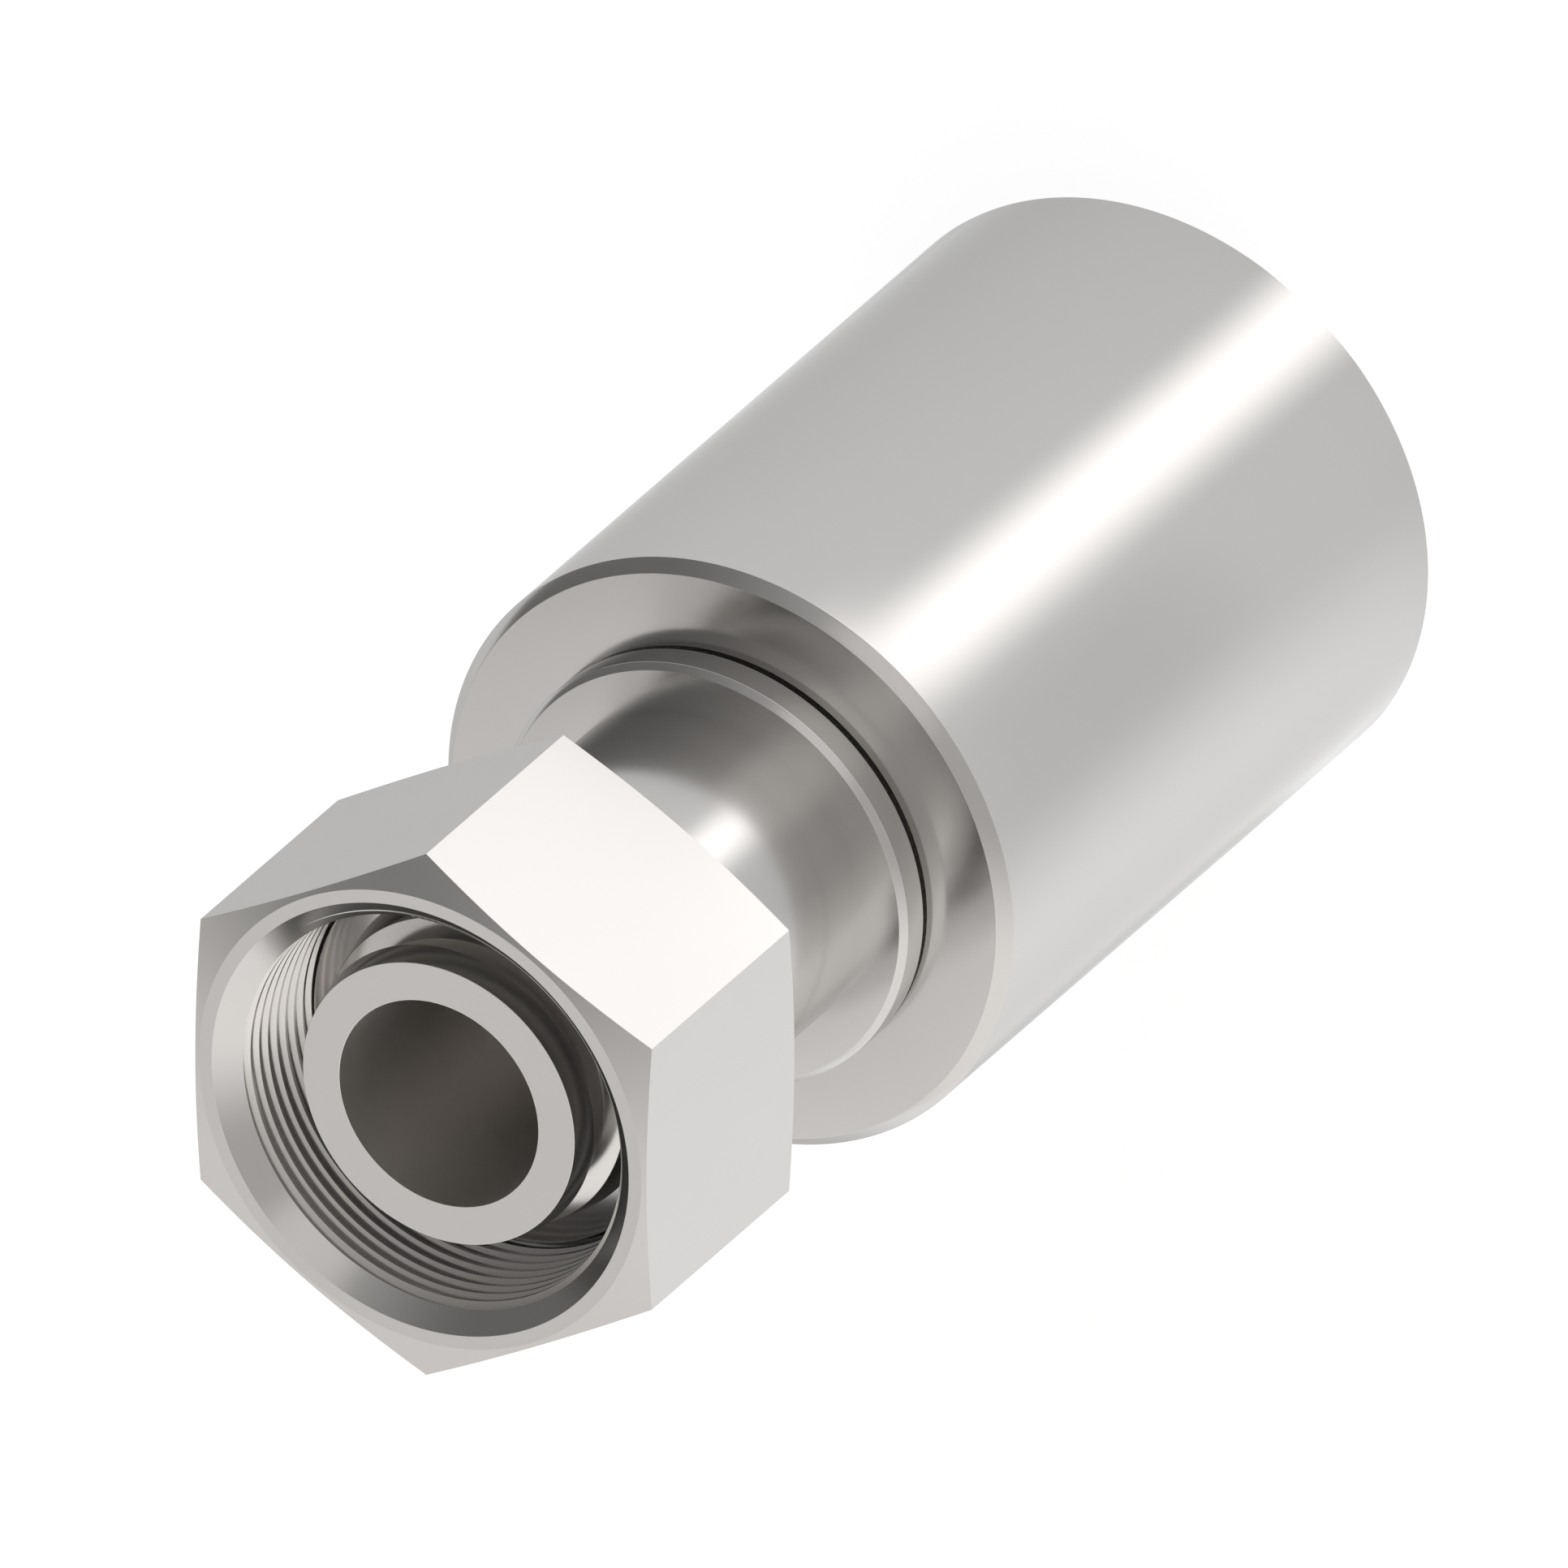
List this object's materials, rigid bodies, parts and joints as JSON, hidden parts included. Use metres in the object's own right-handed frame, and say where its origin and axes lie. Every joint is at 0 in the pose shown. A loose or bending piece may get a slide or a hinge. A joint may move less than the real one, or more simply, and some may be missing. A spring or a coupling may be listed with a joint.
{
  "type": "straight hose fitting",
  "caption": "Straight hose fitting: a hexagon nut with an inner thread swivels over a coned nipple, and a plain uncrimped shell surrounds the barbed hose tail.",
  "frame": {"origin": "centre of the crimp shell's rear end, which the fitting stands on", "axes": "+Z along the axis from the hose end to the coupling end, +Y through a corner of the hexagon at rest"},
  "size_m": [0.0752, 0.0752, 0.1675],
  "materials": {
    "nipple": "plated, turned, satin",
    "swivel_nut": "plated, satin",
    "crimp_shell": "plated, turned, satin",
    "retaining_ring": "spring wire, satin"
  },
  "bodies": {
    "stem": {"nipple": "nipple", "crimp_shell": "crimp_shell"},
    "ring": {"retaining_ring": "retaining_ring"},
    "nut": {"swivel_nut": "swivel_nut"}
  },
  "joints": [
    {"name": "nut_slide", "type": "slide", "parent": "stem", "child": "ring", "axis": [0, 0, -1], "range_m": [0, 0.03]},
    {"name": "nut_swivel", "type": "hinge", "parent": "ring", "child": "nut", "pos_m": [0, 0, 0.15], "axis": [0, 0, 1], "continuous": true}
  ]
}
